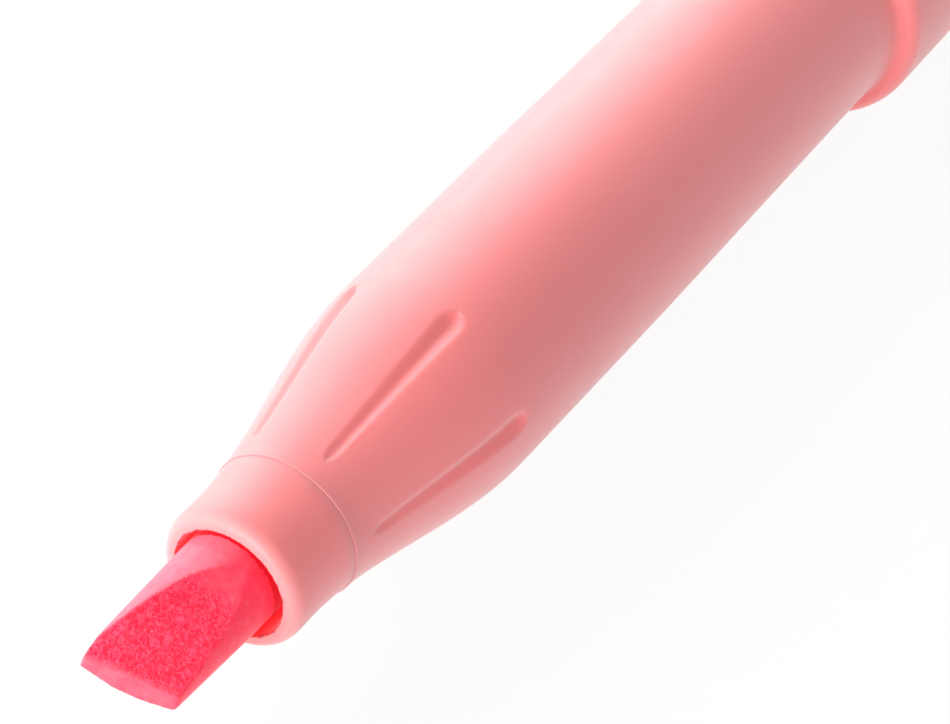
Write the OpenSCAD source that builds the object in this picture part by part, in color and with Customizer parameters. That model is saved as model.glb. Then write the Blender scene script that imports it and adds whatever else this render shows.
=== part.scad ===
// Erasable highlighter lying on its side, with its cap posted on the tail.
// Millimetres. The pen lies along X with its nib towards -X, and rests on z = 0.
// Lengths along the pen are measured from the nozzle's mouth, rearwards.

/* [Barrel] */
// Radius of the slim front section that the cap slides over
section_r = 6; // [5.4:0.1:7.4]
// Height of the shoulder between the section and the wide rear barrel
shoulder_h = 1.1; // [0.8:0.1:2]
// Distance from the mouth to the shoulder where the barrel widens
shoulder_s = 54.1; // [45:0.1:65]
// Length over which the shoulder rounds out to the barrel
shoulder_run = 0.9; // [0.6:0.1:2.4]
// Distance from the mouth to the rear end of the barrel
barrel_end_s = 100; // [84:1:124]
// Wall of the section and of the barrel
wall = 1.2; // [1:0.1:1.5]
// Number of inner ribs that centre the ink reservoir
rib_count = 6; // [3:1:8]

/* [Grip] */
// Wall of the neck round the mouth
neck_wall = 0.85; // [0.8:0.01:1.1]
// Distance from the mouth to where the neck begins to flare
flare_s = 1.9; // [1:0.1:3]
// Length of the flare from the neck to the section
flare_len = 15; // [13:0.5:18]
// Radius by which the section still grows behind the flare
section_draft = 0.12; // [0.05:0.01:0.2]
// Length over which it grows
draft_len = 13; // [8:0.5:16]
// Number of finger flutes round the flare
flute_count = 6; // [4:1:8]
// Turn of the first flute from the top, towards -Y
flute_turn = 22; // [0:1:59]
// Distance from the mouth to the narrow front end of a flute
flute_front_s = 5.6; // [5.2:0.1:7]
// Distance from the mouth to the round rear end of a flute
flute_rear_s = 15.8; // [13:0.1:16]
// Depth of a flute near its rear end
flute_depth = 0.42; // [0.25:0.01:0.5]

/* [Nozzle] */
// Gap round the nib in the mouth
mouth_gap = 0.42; // [0.2:0.01:0.5]
// Length of the nozzle ahead of the barrel
nozzle_len = 4.4; // [3.5:0.1:5]
// Length of the spigot inside the barrel
spigot_len = 9.6; // [7:0.1:10]
// Wall of the spigot
spigot_wall = 0.46; // [0.4:0.01:0.5]
// Rounding of the lip, across the pen
lip_r = 0.5; // [0.3:0.05:0.6]
// Rounding of the lip, along the pen
lip_len = 0.8; // [0.4:0.1:1.2]
// Number of ribs that grip the nib
nib_rib_count = 6; // [3:1:8]

/* [Nib] */
// Radius of the nib
nib_r = 2.4; // [2:0.01:3]
// Amount by which the nib is slimmer at its chisel end
nib_taper = 0.18; // [0:0.01:0.5]
// Reach of the nib ahead of the mouth, at its middle
nib_reach = 7.4; // [6:0.1:9]
// Slant of the chisel edge, away from square to the nib
nib_slant = 15.8; // [0:0.1:30]
// Slope of each ground face to the nib's middle plane
nib_wedge = 19.6; // [17:0.1:32]
// Thickness of the land that the ground faces leave at the end
nib_land = 1.15; // [0.5:0.05:1.4]
// Rounding of the chisel's two corners
nib_corner = 0.2; // [0.1:0.05:0.6]
// Turn of the ground face from the top, towards -Y
nib_turn = 21; // [0:1:90]
// Length of nib inside the reservoir
nib_feed = 7; // [5:0.5:10]
// Length of the taper on the nib's rear end
nib_tail_len = 4; // [2:0.5:5]
// Amount by which the nib is slimmer at its rear end
nib_tail_taper = 0.85; // [0.3:0.05:1.2]

/* [Ink] */
// Distance from the mouth to the front of the ink reservoir
reservoir_s = 20; // [18.5:0.5:24]
// Thickness of the film round the reservoir
film_t = 0.15; // [0.1:0.01:0.3]

/* [Tail] */
// Length of the tail plug inside the barrel
plug_in = 10; // [7:0.5:14]
// Length of the plug's collar behind the barrel
collar_len = 1.2; // [0.8:0.1:3]
// Length over which the tail narrows to the posting size
tail_taper = 3.6; // [2:0.1:6]
// Length of tail that the posted cap slides over
post_len = 13.7; // [10:0.1:18]
// Rounding of the tail's end, along the pen
tail_round = 2.5; // [1:0.1:3.5]
// Rounding of the tail's end, across the pen
tail_edge = 0.95; // [0.5:0.05:1.3]
// Ledge left round the eraser on the tail's end
eraser_ledge = 0.6; // [0.2:0.05:1]
// Length of the eraser behind the tail
eraser_len = 7.8; // [5:0.1:10]
// Length of the eraser's straight side
eraser_side = 3; // [2:0.1:4]
// Radius of the eraser's stem
stem_r = 3.2; // [2.6:0.1:3.5]
// Length of the stem inside the tail
stem_len = 7; // [5:0.1:8]

/* [Cap] */
// Thickness of the cap's end
cap_end_t = 1.6; // [1.2:0.1:3]
// Rounding of the cap's closed end
cap_round = 1.2; // [0.6:0.1:1.2]
// Material left on each side of an air vent in the cap's end
vent_edge = 0.27; // [0.2:0.01:0.35]
// Number of air vents
vent_count = 3; // [2:1:6]
// Width of the pocket clip
clip_w = 5; // [3.5:0.1:6]
// Thickness of the clip
clip_t = 1.8; // [1.4:0.1:2.4]
// Gap between the clip and the cap
clip_gap = 1.1; // [0.8:0.1:1.6]
// Radius of the clip's crowned back
clip_crown = 5.5; // [4.5:0.5:12]
// Length of the clip
clip_len = 40; // [30:1:46]
// Length of the clip's root on the cap
clip_root = 7; // [5:0.5:10]
// Length of the bead under the clip's free end
bead_len = 4; // [3:0.5:6]
// Gap between the bead and the cap
bead_gap = 0.3; // [0.2:0.05:0.6]
// Wall of the inner sealing cap
seal_wall = 0.8; // [0.6:0.05:1]
// Length of nozzle that the inner cap covers when the pen is capped
seal_cover = 3; // [2:0.1:3.6]
// Room beyond the nib's tip inside the capped inner cap
tip_room = 1; // [0.6:0.1:3]

/* [Fits] */
// Gap between pieces that are pressed together
press_gap = 0.02; // [0.01:0.01:0.04]
// Gap between the reservoir and the walls that guide it
slip_gap = 0.1; // [0.05:0.01:0.2]
// Gap between the cap and the section when the pen is capped
cap_gap = 0.12; // [0.1:0.01:0.2]
// Gap between the posted cap and the tail
post_gap = 0.08; // [0.03:0.01:0.1]
// Gap between the inner cap and the neck when the pen is capped
seal_gap = 0.1; // [0.05:0.01:0.2]
// Distance from the narrowed tail to the posted cap's mouth
post_stop = 0.3; // [0.1:0.1:1]

/* [Hidden] */
$fn = 96;

barrel_pink = "#f6b4b2";
cap_pink = "#f6b0ae";
nib_pink = "#f5476a";
ink_pink = "#ee6a86";
film_clear = "#e8d9dc";
seal_white = "#f2e6e4";
eraser_pink = "#f3cfcc";

// Radii that follow from the nib
mouth_r = nib_r + mouth_gap;
neck_r = mouth_r + neck_wall;
nib_tip_r = nib_r - nib_taper;
nib_tail_r = nib_r - nib_tail_taper;

// Radii that follow from the section
barrel_r = section_r + shoulder_h;
section_bore = section_r - wall;
barrel_bore = barrel_r - wall;
flare_top_r = section_r - section_draft;
film_r = section_bore - slip_gap;
core_r = film_r - film_t - press_gap;
spigot_r = mouth_r + spigot_wall;
spigot_bore = spigot_r + press_gap;
cap_bore = section_r + cap_gap;
tail_r = cap_bore - post_gap;
plug_r = barrel_bore - press_gap;
plug_bore = min(plug_r, tail_r) - wall;
tail_end_r = tail_r - tail_edge;
eraser_r = tail_end_r - eraser_ledge;

// Stations along the pen, with some room at each step of its bore
bore_room = 1;
flare_end_s = flare_s + flare_len;
draft_end_s = flare_end_s + draft_len;
spigot_end_s = nozzle_len + spigot_len;
bore_step_s = spigot_end_s + bore_room;
bore_open_s = reservoir_s - bore_room;
barrel_step_s = shoulder_s + bore_room;
barrel_open_s = shoulder_s + shoulder_run + bore_room;
plug_front_s = barrel_end_s - plug_in;
reservoir_end_s = plug_front_s - slip_gap;
nib_end_s = reservoir_s + nib_feed;
collar_end_s = barrel_end_s + collar_len;
post_s = collar_end_s + tail_taper;
post_end_s = post_s + post_len;
tail_end_s = post_end_s + tail_round;
eraser_end_s = tail_end_s + eraser_len;

// The nib's long corner sets how deep the cap is
nib_corner_s = -nib_reach - (nib_tip_r - nib_corner) * tan(nib_slant);
seal_floor = 1;
cap_depth = shoulder_s - nib_corner_s + tip_room + seal_floor;
cap_len = cap_depth + cap_end_t;
cap_s = post_s + post_stop;
cap_end_s = cap_s + cap_len;
seal_r = neck_r + seal_gap;
seal_out_r = seal_r + seal_wall;
seal_mouth_s = cap_s + shoulder_s - seal_cover;
seal_end_s = cap_s + cap_depth - press_gap;
vent_at_r = (seal_out_r + cap_bore) / 2;
vent_r = (cap_bore - seal_out_r) / 2 - vent_edge;

// The clip's lower edge meets the floor, so the pen doesn't roll
clip_out = barrel_r + clip_gap + clip_t;
clip_edge_out = clip_out - clip_crown + sqrt(pow(clip_crown, 2) - pow(clip_w / 2, 2));
clip_corner_r = norm([clip_edge_out, clip_w / 2]);
clip_half_turn = atan2(clip_w / 2, clip_edge_out);
clip_turn = acos(barrel_r / clip_corner_r) + clip_half_turn;
clip_reach_y = clip_corner_r * sin(clip_turn + clip_half_turn);
clip_head_s = cap_end_s - cap_round;
clip_free_s = clip_head_s - clip_len;

// The origin is under the middle of the whole, on the floor
axis_y = (barrel_r - clip_reach_y) / 2;
mouth_x = -(cap_end_s + nib_corner_s) / 2;

// Extra length of cutters, and of what sinks into a wall
overlap = 0.5;

function smooth(t) = t <= 0 ? 0 : t >= 1 ? 1 : t * t * (3 - 2 * t);

// Outer radius of the neck and flare at a distance from the mouth
function flare_r(s) = neck_r + (flare_top_r - neck_r) * smooth((s - flare_s) / flare_len);

// A quarter of an ellipse from one radius and station to the next. With outwards it starts
// square to the pen and ends along it, and without it starts along the pen and ends square.
function quarter(r0, s0, r1, s1, outwards = true, steps = 8) = [
    for (i = [0 : steps])
        let (a = 90 * i / steps)
        outwards
            ? [r0 + (r1 - r0) * sin(a), s0 + (s1 - s0) * (1 - cos(a))]
            : [r0 + (r1 - r0) * (1 - cos(a)), s0 + (s1 - s0) * sin(a)]
];

// Points down the flare between two stations
function flare_points(s0, s1, steps) = [
    for (i = [0 : steps])
        let (s = s0 + (s1 - s0) * i / steps)
        [flare_r(s), s]
];

// Lays a piece that stands along Z from the mouth into the lying pen. Its X then points down.
module lie() {
    translate([mouth_x, axis_y, barrel_r])
        rotate([0, 90, 0])
            children();
}

// A round piece from its outline in radius and station
module turned(points) {
    rotate_extrude()
        polygon(points);
}

// Straight ribs on the inside of a round wall, from inner_r out into the wall
module inner_ribs(count, inner_r, outer_r, s0, s1, thick) {
    for (i = [0 : count - 1])
        rotate([0, 0, 360 * i / count])
            translate([inner_r, -thick / 2, s0])
                cube([outer_r - inner_r, thick, s1 - s0]);
}

// One teardrop flute: a round cutter with a blunt nose that sinks into the flare and widens
// as it runs back, then closes in a round end. Its axis is a little above the surface.
module flute_cutter() {
    front_h = 0.5;
    rear_h = 0.42;
    front_depth = 0.1;
    nose_len = 0.5;
    round_len = 0.9;
    steps = 10;
    front = [flare_r(flute_front_s) + front_h, flute_front_s];
    rear = [flare_r(flute_rear_s) + rear_h, flute_rear_s];
    run = norm(rear - front);
    tilt = atan2(rear[0] - front[0], rear[1] - front[1]);
    straight = run - round_len;
    function height(t) = front[0] + t * sin(tilt) - flare_r(front[1] + t * cos(tilt));
    function depth(t) = front_depth + (flute_depth - front_depth) * pow(t / straight, 0.8);
    function radius(t) = height(t) + depth(t);
    nose = quarter(0, 0, radius(nose_len), nose_len, true, 6);
    side = [
        for (i = [1 : steps - 1])
            let (t = nose_len + (straight - nose_len) * i / steps)
            [radius(t), t]
    ];
    end = quarter(radius(straight), straight, 0, run, false, 6);
    translate([front[0], 0, front[1]])
        rotate([0, tilt, 0])
            turned(concat(nose, side, end));
}

module barrel() {
    rib_thick = 0.8;
    rib_front_s = barrel_open_s + bore_room;
    rib_end_s = plug_front_s - bore_room;
    outside = concat(
        flare_points(nozzle_len, flare_end_s, 14),
        [[section_r, draft_end_s]],
        quarter(section_r, shoulder_s, barrel_r, shoulder_s + shoulder_run)
    );
    inside = [
        [barrel_r, barrel_end_s],
        [barrel_bore, barrel_end_s],
        [barrel_bore, barrel_open_s],
        [section_bore, barrel_step_s],
        [section_bore, bore_open_s],
        [spigot_bore, bore_step_s],
        [spigot_bore, nozzle_len]
    ];
    color(barrel_pink)
        lie()
            difference() {
                union() {
                    turned(concat(outside, inside));
                    inner_ribs(rib_count, section_bore, barrel_bore + overlap,
                        rib_front_s, rib_end_s, rib_thick);
                }
                for (i = [0 : flute_count - 1])
                    rotate([0, 0, 180 + flute_turn + 360 * i / flute_count])
                        flute_cutter();
            }
}

module nozzle() {
    rib_thick = 0.5;
    rib_front_s = nozzle_len + bore_room;
    lead = 0.15;
    outside = concat(
        [[mouth_r, lead], [mouth_r + lead, 0]],
        quarter(flare_r(lip_len) - lip_r, 0, flare_r(lip_len), lip_len),
        flare_points(flare_s, nozzle_len - press_gap, 4)
    );
    inside = [
        [spigot_r, nozzle_len - press_gap],
        [spigot_r, spigot_end_s - lead],
        [spigot_r - lead, spigot_end_s],
        [mouth_r, spigot_end_s]
    ];
    color(barrel_pink)
        lie() {
            turned(concat(outside, inside));
            inner_ribs(nib_rib_count, nib_r + press_gap, mouth_r + spigot_wall / 2,
                rib_front_s, spigot_end_s - lead, rib_thick);
        }
}

// Outline of the nib's rear end and of the hole that it feeds, grown by a gap
function nib_rear(gap) = [
    [nib_r + gap, nib_end_s - nib_tail_len],
    [nib_tail_r + gap, nib_end_s + gap],
    [0, nib_end_s + gap]
];

// The end and both ground faces of the chisel, as one slanted wedge
module chisel_wedge() {
    half = nib_land / 2;
    full = nib_r + overlap;
    rise = (full - half) / tan(nib_wedge);
    length = (nib_reach + nib_end_s) / cos(nib_slant) + 2 * nib_r;
    translate([0, 0, -nib_reach])
        rotate([0, -nib_slant, 0])
            rotate([90, 0, 90])
                linear_extrude(height = 8 * nib_r, center = true)
                    polygon([
                        [-half, 0], [half, 0], [full, rise], [full, length],
                        [-full, length], [-full, rise]
                    ]);
}

// Plan of the chisel with its two corners rounded, seen square to the ground faces
module chisel_plan() {
    half = nib_r + overlap;
    end_half = nib_tip_r - nib_corner;
    function end_s(w) = -nib_reach + w * tan(nib_slant);
    function corner(w) = [w, end_s(w) + nib_corner / cos(nib_slant)];
    rotate([90, 0, 0])
        linear_extrude(height = 4 * nib_r, center = true)
            union() {
                translate(corner(-end_half))
                    circle(nib_corner);
                translate(corner(end_half))
                    circle(nib_corner);
                polygon([
                    [-end_half, end_s(-end_half)], [end_half, end_s(end_half)],
                    [end_half, 0], [-end_half, 0]
                ]);
                polygon([
                    corner(-end_half) - [nib_corner, 0], corner(end_half) + [nib_corner, 0],
                    [half, 0], [half, nib_end_s + 1], [-half, nib_end_s + 1], [-half, 0]
                ]);
            }
}

module nib() {
    taper_s = -1;
    tip_s = -nib_reach - nib_tip_r;
    color(nib_pink)
        lie()
            rotate([0, 0, nib_turn - 90])
                intersection() {
                    turned(concat(
                        [[0, tip_s], [nib_tip_r, tip_s], [nib_tip_r, -nib_reach], [nib_r, taper_s]],
                        nib_rear(0)
                    ));
                    chisel_wedge();
                    chisel_plan();
                }
}

module ink_reservoir() {
    color(ink_pink)
        lie()
            turned(concat(
                [[core_r, reservoir_s], [nib_r + press_gap, reservoir_s]],
                nib_rear(press_gap),
                [[0, reservoir_end_s], [core_r, reservoir_end_s]]
            ));
}

module reservoir_film() {
    color(film_clear, 0.5)
        lie()
            turned([
                [core_r + press_gap, reservoir_s], [film_r, reservoir_s],
                [film_r, reservoir_end_s], [core_r + press_gap, reservoir_end_s]
            ]);
}

module tail_plug() {
    lead = 0.3;
    collar_step = 0.1;
    web_s = tail_end_s - stem_len - wall;
    stop_r = 1.5;
    stop_thick = 0.9;
    stop_len = 6;
    stop_count = 4;
    outside = concat(
        [
            [plug_bore, plug_front_s], [plug_r - lead, plug_front_s], [plug_r, plug_front_s + lead],
            [plug_r, barrel_end_s + press_gap], [barrel_r - collar_step, barrel_end_s + press_gap],
            [barrel_r - collar_step, collar_end_s], [tail_r, post_s]
        ],
        quarter(tail_r, post_end_s, tail_end_r, tail_end_s, false, 6)
    );
    inside = [
        [stem_r + press_gap, tail_end_s], [stem_r + press_gap, tail_end_s - stem_len],
        [0, tail_end_s - stem_len], [0, web_s], [plug_bore, web_s]
    ];
    color(barrel_pink)
        lie() {
            turned(concat(outside, inside));
            inner_ribs(stop_count, stop_r, plug_bore + overlap,
                plug_front_s, plug_front_s + stop_len, stop_thick);
        }
}

module friction_eraser() {
    color(eraser_pink)
        lie()
            turned(concat(
                [
                    [0, tail_end_s - stem_len + press_gap], [stem_r, tail_end_s - stem_len + press_gap],
                    [stem_r, tail_end_s + press_gap], [eraser_r, tail_end_s + press_gap]
                ],
                quarter(eraser_r, tail_end_s + eraser_side, 0, eraser_end_s, false, 10)
            ));
}

// Side view of the pocket clip: its root on the cap, the strip, and the bead under its free end
module clip_side() {
    under = barrel_r + clip_gap;
    bead = barrel_r + bead_gap;
    bead_flat = 0.8;
    tip_round = 1.2;
    into = (barrel_r + cap_bore) / 2;
    root_s = clip_head_s - clip_root;
    bead_s = clip_free_s + bead_len / 2;
    polygon(concat(
        [[into, root_s], [under, root_s - clip_gap], [under, clip_free_s + bead_len]],
        [[bead, bead_s + bead_flat / 2], [bead, bead_s - bead_flat / 2], [under, clip_free_s]],
        quarter(clip_out - tip_round, clip_free_s, clip_out, clip_free_s + tip_round, true, 5),
        quarter(clip_out, clip_head_s - tip_round, clip_out - tip_round, clip_head_s, false, 5),
        [[into, clip_head_s]]
    ));
}

// Plan of the clip, with a round free end
module clip_plan() {
    half = clip_w / 2;
    translate([clip_free_s + half, 0])
        circle(half);
    translate([clip_free_s + half, -half])
        square([clip_len, clip_w]);
}

module clip() {
    rotate([0, 0, clip_turn])
        intersection() {
            rotate([90, 0, 0])
                linear_extrude(height = 2 * clip_w, center = true)
                    clip_side();
            rotate([0, -90, 0])
                mirror([0, 0, 1])
                    linear_extrude(height = 2 * clip_out)
                        clip_plan();
            translate([clip_out - clip_crown, 0, 0])
                cylinder(r = clip_crown, h = cap_end_s + overlap);
        }
}

// Air vents round the inner cap, through a wall of some thickness
module vent_holes(s, thick) {
    for (i = [0 : vent_count - 1])
        rotate([0, 0, clip_turn + 180 + 360 * i / vent_count])
            translate([vent_at_r, 0, s - overlap])
                cylinder(r = vent_r, h = thick + 2 * overlap);
}

module cap_shell() {
    lead = 0.3;
    outside = concat(
        [[cap_bore + lead, cap_s], [barrel_r - lead, cap_s], [barrel_r, cap_s + lead]],
        quarter(barrel_r, cap_end_s - cap_round, barrel_r - cap_round, cap_end_s, false, 6)
    );
    inside = [
        [0, cap_end_s], [0, cap_s + cap_depth], [cap_bore, cap_s + cap_depth], [cap_bore, cap_s + lead]
    ];
    color(cap_pink)
        lie()
            difference() {
                union() {
                    turned(concat(outside, inside));
                    clip();
                }
                vent_holes(cap_s + cap_depth, cap_end_t);
            }
}

module inner_cap() {
    flange_r = cap_bore - press_gap;
    floor_s = seal_end_s - seal_floor;
    lead = 0.3;
    color(seal_white)
        lie()
            difference() {
                turned([
                    [0, floor_s], [seal_r, floor_s], [seal_r, seal_mouth_s + lead],
                    [seal_r + lead, seal_mouth_s], [seal_out_r, seal_mouth_s], [seal_out_r, floor_s],
                    [flange_r, floor_s], [flange_r, seal_end_s], [0, seal_end_s]
                ]);
                vent_holes(floor_s, seal_floor);
            }
}

barrel();
nozzle();
nib();
ink_reservoir();
reservoir_film();
tail_plug();
friction_eraser();
cap_shell();
inner_cap();
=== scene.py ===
"""An erasable highlighter on a pale floor, open, with its cap posted on the tail.

Each piece is modelled standing on the nozzle's mouth, in millimetres with the pen's length
along Z, and is then laid into the frame. Stations are distances from the mouth, rearwards.
"""

import math

import bmesh
import bpy
from mathutils import Matrix, Vector


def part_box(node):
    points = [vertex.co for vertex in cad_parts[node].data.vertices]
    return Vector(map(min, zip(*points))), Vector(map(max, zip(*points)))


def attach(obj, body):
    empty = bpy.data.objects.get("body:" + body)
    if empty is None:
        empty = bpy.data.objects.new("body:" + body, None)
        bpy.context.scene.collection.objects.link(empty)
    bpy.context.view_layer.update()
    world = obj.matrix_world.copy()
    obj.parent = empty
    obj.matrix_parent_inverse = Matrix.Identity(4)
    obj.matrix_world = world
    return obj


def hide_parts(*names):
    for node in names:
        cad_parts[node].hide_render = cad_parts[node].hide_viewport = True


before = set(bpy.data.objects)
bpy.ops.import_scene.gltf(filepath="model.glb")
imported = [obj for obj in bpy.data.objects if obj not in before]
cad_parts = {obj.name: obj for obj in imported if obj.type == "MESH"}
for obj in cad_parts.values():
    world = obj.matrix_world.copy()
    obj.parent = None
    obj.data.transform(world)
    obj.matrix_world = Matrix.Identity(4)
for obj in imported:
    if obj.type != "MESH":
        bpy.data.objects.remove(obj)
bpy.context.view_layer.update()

# Places and outer sizes from the frame
MM = 0.001
barrel_low, barrel_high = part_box("barrel")
mouth_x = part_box("nozzle")[0].x
axis_y = (barrel_low.y + barrel_high.y) / 2
axis_z = (barrel_low.z + barrel_high.z) / 2


def station(x):
    """Distance of a place in the frame from the nozzle's mouth, in millimetres."""
    return (x - mouth_x) / MM


barrel_r = (barrel_high.z - barrel_low.z) / 2 / MM
joint_s = station(barrel_low.x)
barrel_end_s = station(barrel_high.x)
spigot_end_s = station(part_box("nozzle")[1].x)
nib_end_s = station(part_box("nib")[1].x)
plug_front_s = station(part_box("tail_plug")[0].x)
tail_end_s = station(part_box("tail_plug")[1].x)
eraser_end_s = station(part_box("friction_eraser")[1].x)
stem_front_s = station(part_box("friction_eraser")[0].x)
cap_s = station(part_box("cap_shell")[0].x)
cap_end_s = station(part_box("cap_shell")[1].x)
seal_mouth_s = station(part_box("inner_cap")[0].x)
seal_end_s = station(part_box("inner_cap")[1].x)

# Barrel and grip
SECTION_R = 6.0
SHOULDER_S = 54.1
SHOULDER_RUN = 0.9
SHOULDER_FOOT = 0.5
SHOULDER_FOOT_SHARE = 0.35
SHOULDER_WALL = 1.0
BARREL_ROUND = 0.25
WALL = 1.2
NECK_R = 3.67
FLARE_S = 1.9
FLARE_LEN = 15.0
FLARE_TOP_R = 5.88
DRAFT_LEN = 13.0
BORE_STEP_S = 15.0
BORE_OPEN_S = 19.0
FLUTE_COUNT = 6
FLUTE_TURN = math.radians(22)
FLUTE_FRONT_S = 5.7
FLUTE_REAR_S = 15.8
FLUTE_DEPTH = 0.4
FLUTE_FRONT_DEPTH = 0.12
FLUTE_FRONT_HALF = 0.36
FLUTE_REAR_HALF = 0.76
FLUTE_NOSE = 0.5
FLUTE_END = 0.9
FLUTE_SINK = 0.8

# Nozzle and nib
MOUTH_R = 2.82
LIP_R = 0.5
LIP_LEN = 0.8
MOUTH_ROUND = 0.15
INK_CREEP = 0.17
SPIGOT_R = 3.28
SPIGOT_ROUND = 0.15
PRESS_GAP = 0.02
JOINT_GAP = 0.005
JOINT_STEP = 0.055
JOINT_FADE = 0.6
NIB_R = 2.45
NIB_TIP_R = 2.27
NIB_REACH = 7.4
NIB_TAPER_S = -1.0
NIB_TAIL_R = 1.55
NIB_TAIL_LEN = 4.0
NIB_TURN = math.radians(21)
NIB_SLANT_ANGLE = math.radians(15.8)
NIB_SLANT = math.tan(NIB_SLANT_ANGLE)
NIB_SLOPE = math.tan(math.radians(19.6)) * math.cos(NIB_SLANT_ANGLE)
NIB_LAND = 1.15
NIB_TWIST = 0.027
NIB_CORNER = 0.14
# Lower cuts of the chisel: how far below the middle of the end each goes, and its tilt
NIB_UNDER = ((0.76, 0.0), (0.9, 0.29), (0.93, -0.22))
# Worn upper edge: how far its cut leans forward and aside
NIB_ROLL = (0.12, 0.1)
# Worn long side: the depth of its cut, and how far it leans forward
NIB_WORN = (0.2, 0.09)
# Tears in the ground faces: their name, size and depth
NIB_TEARS = (("nib_tear", 0.3, 0.04), ("nib_fleck", 0.11, 0.06))
NIB_TEAR_LEVEL = 0.6
# Where the nib is painted paler on its lit flank and its end, where painted shade darkens its root
# in the mouth, and where it is smooth
NIB_PALE_FROM = 0.52
NIB_PALE_BLEND = 0.8
NIB_PALE_END = 0.6
# Painted shade on the nib where it goes into the mouth: the station where it starts, and the length
# over which it deepens
NIB_SHADE_S = 0.03
NIB_SHADE_LEN = 0.19
NIB_FADE = 0.3
NIB_SMOOTH_S = -1.6
NIB_SMOOTH_LEN = 1.1
NIB_SEAT_S = 22.0
NIB_LEAN = math.radians(0.3)
NIB_LEAN_TO = Vector((-0.54, 0.84, 0))

# Tail, eraser and cap
COLLAR_STEP = 0.1
COLLAR_R = barrel_r - COLLAR_STEP
COLLAR_LEN = 1.2
TAIL_R = 6.04
TAIL_TAPER = 3.6
TAIL_ROUND = 2.5
TAIL_EDGE = 0.95
PLUG_ROUND = 0.3
COLLAR_FRONT_ROUND = 0.2
COLLAR_ROUND = 0.5
POST_ROUND = 0.8
STEM_R = 3.2
STEM_ROUND = 0.3
ERASER_LEDGE = 0.6
ERASER_SIDE = 3.0
ERASER_ROUND = 0.2
CAP_BORE = 6.12
CAP_END_T = 1.6
CAP_ROUND = 1.2
CAP_LIP_ROUND = 0.3
CAP_FLOOR_ROUND = 0.2
SEAL_R = 3.77
SEAL_WALL = 0.8
SEAL_FLOOR = 1.0
SEAL_FLOOR_ROUND = 0.4
SEAL_LIP_ROUND = 0.3
SEAL_RIM_ROUND = 0.25
SEAL_ROOT_ROUND = 0.3
FLANGE_ROUND = 0.15
VENT_COUNT = 3
VENT_R = 0.5
CLIP_LEN = 40.0
CLIP_W = 5.0
CLIP_T = 1.8
CLIP_GAP = 1.1
CLIP_CROWN = 5.5
CLIP_ROOT = 7.0
CLIP_ROOT_ROUND = 0.8
CLIP_TIP_ROUND = 0.3
CLIP_BACK_ROUND = 1.2
BEAD_LEN = 4.0
BEAD_GAP = 0.3
BEAD_ROUND = 0.6

# Ink, and a painted glow that stands in for its fluorescence and brightens it in shade
FRESH_INK = (0.88, 0.005, 0.017)
# Dried ink's colour, and also the colour of the painted shade at the nib's root
DRIED_INK_AND_SHADE = (0.5, 0.002, 0.012)
INK_PAINTED_GLOW = 0.35
NIB_PAINTED_GLOW = INK_PAINTED_GLOW * 0.7

# Fineness of the meshes
GRIP_STEPS = 360
ROUND_STEPS = 128
DOME_STEPS = 24
VENT_STEPS = 32
FLARE_STEP = 0.15
NIB_VOXEL = 0.08
NIB_SMOOTH_PASSES = 4
NIB_FINE_S = 1.0
NIB_COARSE_SHARE = 0.08
GROUND_SOFT_PASSES = 20
STONE_CUTS = 24
MERGE = 1e-4
OVERCUT = 1.0
SMOOTH_ANGLE = math.radians(32)

# Studio: where along the pen the lamps aim, and in metres their distance and the floor
LAMP_AIM_S = 25.0
LAMP_DISTANCE = 0.8
FLOOR_SIZE = 6


def smooth(t):
    """Eases from 0 to 1."""
    t = min(max(t, 0.0), 1.0)
    return t * t * (3 - 2 * t)


def flare_r(s):
    """Outer radius of the neck and the flare."""
    return NECK_R + (FLARE_TOP_R - NECK_R) * smooth((s - FLARE_S) / FLARE_LEN)


def quarter(r0, s0, r1, s1, outwards, steps=12):
    """A quarter of an ellipse. With outwards it starts square to the pen, otherwise along it."""
    points = []
    for i in range(steps + 1):
        a = math.pi / 2 * i / steps
        near, far = math.sin(a), 1 - math.cos(a)
        if not outwards:
            near, far = far, near
        points.append((r0 + (r1 - r0) * near, s0 + (s1 - s0) * far))
    return points


def down_the_flare(s0, s1):
    """Points along the flare at the spacing of its mesh."""
    count = math.ceil((s1 - s0) / FLARE_STEP)
    stations = [s0 + (s1 - s0) * i / count for i in range(count + 1)]
    return [(flare_r(s), s) for s in stations]


def rounded(points, steps=5):
    """An outline in which each point with a third number is a corner rounded over that length."""
    outline = []
    for before, point, after in zip(points[-1:] + points, points, points[1:] + points[:1]):
        corner = Vector(point[:2])
        if len(point) == 2:
            outline.append(corner)
            continue
        start = corner + (Vector(before[:2]) - corner).normalized() * point[2]
        end = corner + (Vector(after[:2]) - corner).normalized() * point[2]
        for i in range(steps + 1):
            t = i / steps
            outline.append(start.lerp(corner, t).lerp(corner.lerp(end, t), t))
    return outline


# Work on the bench
def draw(name, outline):
    """Draws an outline of radius and station from one vertex, and stays in edit mode."""
    bpy.ops.object.select_all(action="DESELECT")
    bpy.ops.mesh.primitive_plane_add(size=1)
    piece = bpy.context.object
    piece.name = piece.data.name = name
    bpy.ops.object.mode_set(mode="EDIT")
    bpy.ops.mesh.select_mode(type="VERT")
    bpy.ops.mesh.select_all(action="SELECT")
    bpy.ops.mesh.merge(type="CENTER")
    here = Vector((0, 0, 0))
    for i, (r, s) in enumerate(outline):
        there = Vector((r, 0, s))
        if i == 0:
            bpy.ops.transform.translate(value=there)
        else:
            bpy.ops.mesh.extrude_vertices_move(TRANSFORM_OT_translate={"value": there - here})
        here = there
    bpy.ops.mesh.select_all(action="SELECT")
    return piece


def tidy_mesh():
    """Merges doubles and points the faces outwards, in edit mode."""
    bpy.ops.mesh.select_all(action="SELECT")
    bpy.ops.mesh.remove_doubles(threshold=MERGE)
    bpy.ops.mesh.normals_make_consistent(inside=False)


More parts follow.
